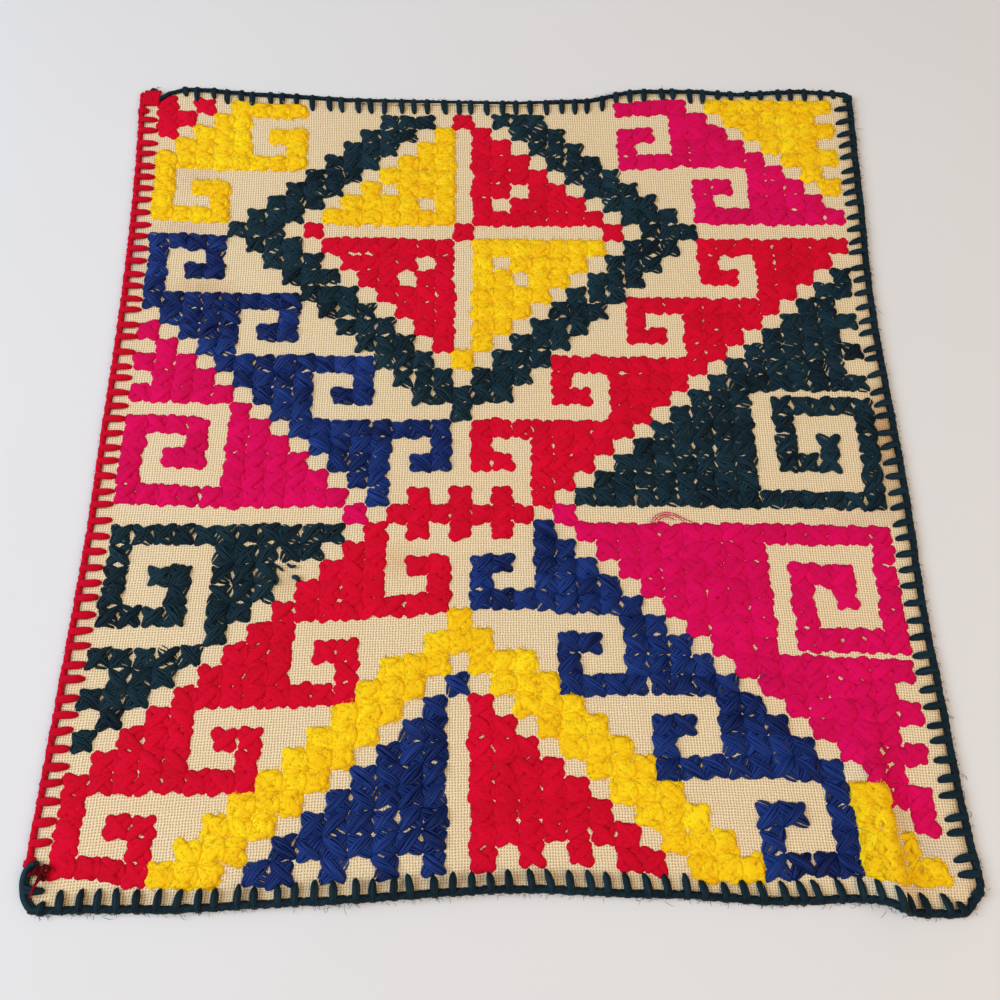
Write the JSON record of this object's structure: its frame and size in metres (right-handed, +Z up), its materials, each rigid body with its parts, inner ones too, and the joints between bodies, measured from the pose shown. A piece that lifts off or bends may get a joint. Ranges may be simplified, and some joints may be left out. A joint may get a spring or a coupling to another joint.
{
  "type": "textile panel",
  "caption": "Nearly square cotton cloth worked in wool cross stitch with stepped hooks, key blocks, a lozenge and a chevron, bound with blanket stitch; lies flat as a mat or cover.",
  "frame": {"origin": "centre of the bounding box at the level the cloth lies on", "axes": "+Z up out of the worked face, +Y towards the edge with the lozenge, +X to the right seen from above"},
  "size_m": [0.3242, 0.3452, 0.0081],
  "materials": {
    "cream_cotton": "matt even-weave cotton",
    "red_wool": "soft matt wool yarn",
    "magenta_wool": "soft matt wool yarn",
    "yellow_wool": "soft matt wool yarn",
    "blue_wool": "soft matt wool yarn",
    "green_wool": "soft matt wool yarn"
  },
  "bodies": {
    "root": {"ground_cloth": "cream_cotton", "red_corner": "red_wool", "yellow_hooks": "yellow_wool", "magenta_hooks": "magenta_wool", "yellow_corner_top": "yellow_wool", "lozenge_frame": "green_wool", "lozenge_red": "red_wool", "lozenge_yellow_upper": "yellow_wool", "lozenge_yellow_lower": "yellow_wool", "blue_hooks_upper": "blue_wool", "red_hooks_upper": "red_wool", "magenta_key_left": "magenta_wool", "green_key_left": "green_wool", "green_key_right": "green_wool", "magenta_key_right": "magenta_wool", "red_comb": "red_wool", "red_hooks_lower": "red_wool", "blue_hooks_lower": "blue_wool", "yellow_corner_bottom": "yellow_wool", "yellow_chevron": "yellow_wool", "blue_triangle": "blue_wool", "red_triangle": "red_wool", "edging_red": "red_wool", "edging_green": "green_wool"}
  },
  "joints": []
}
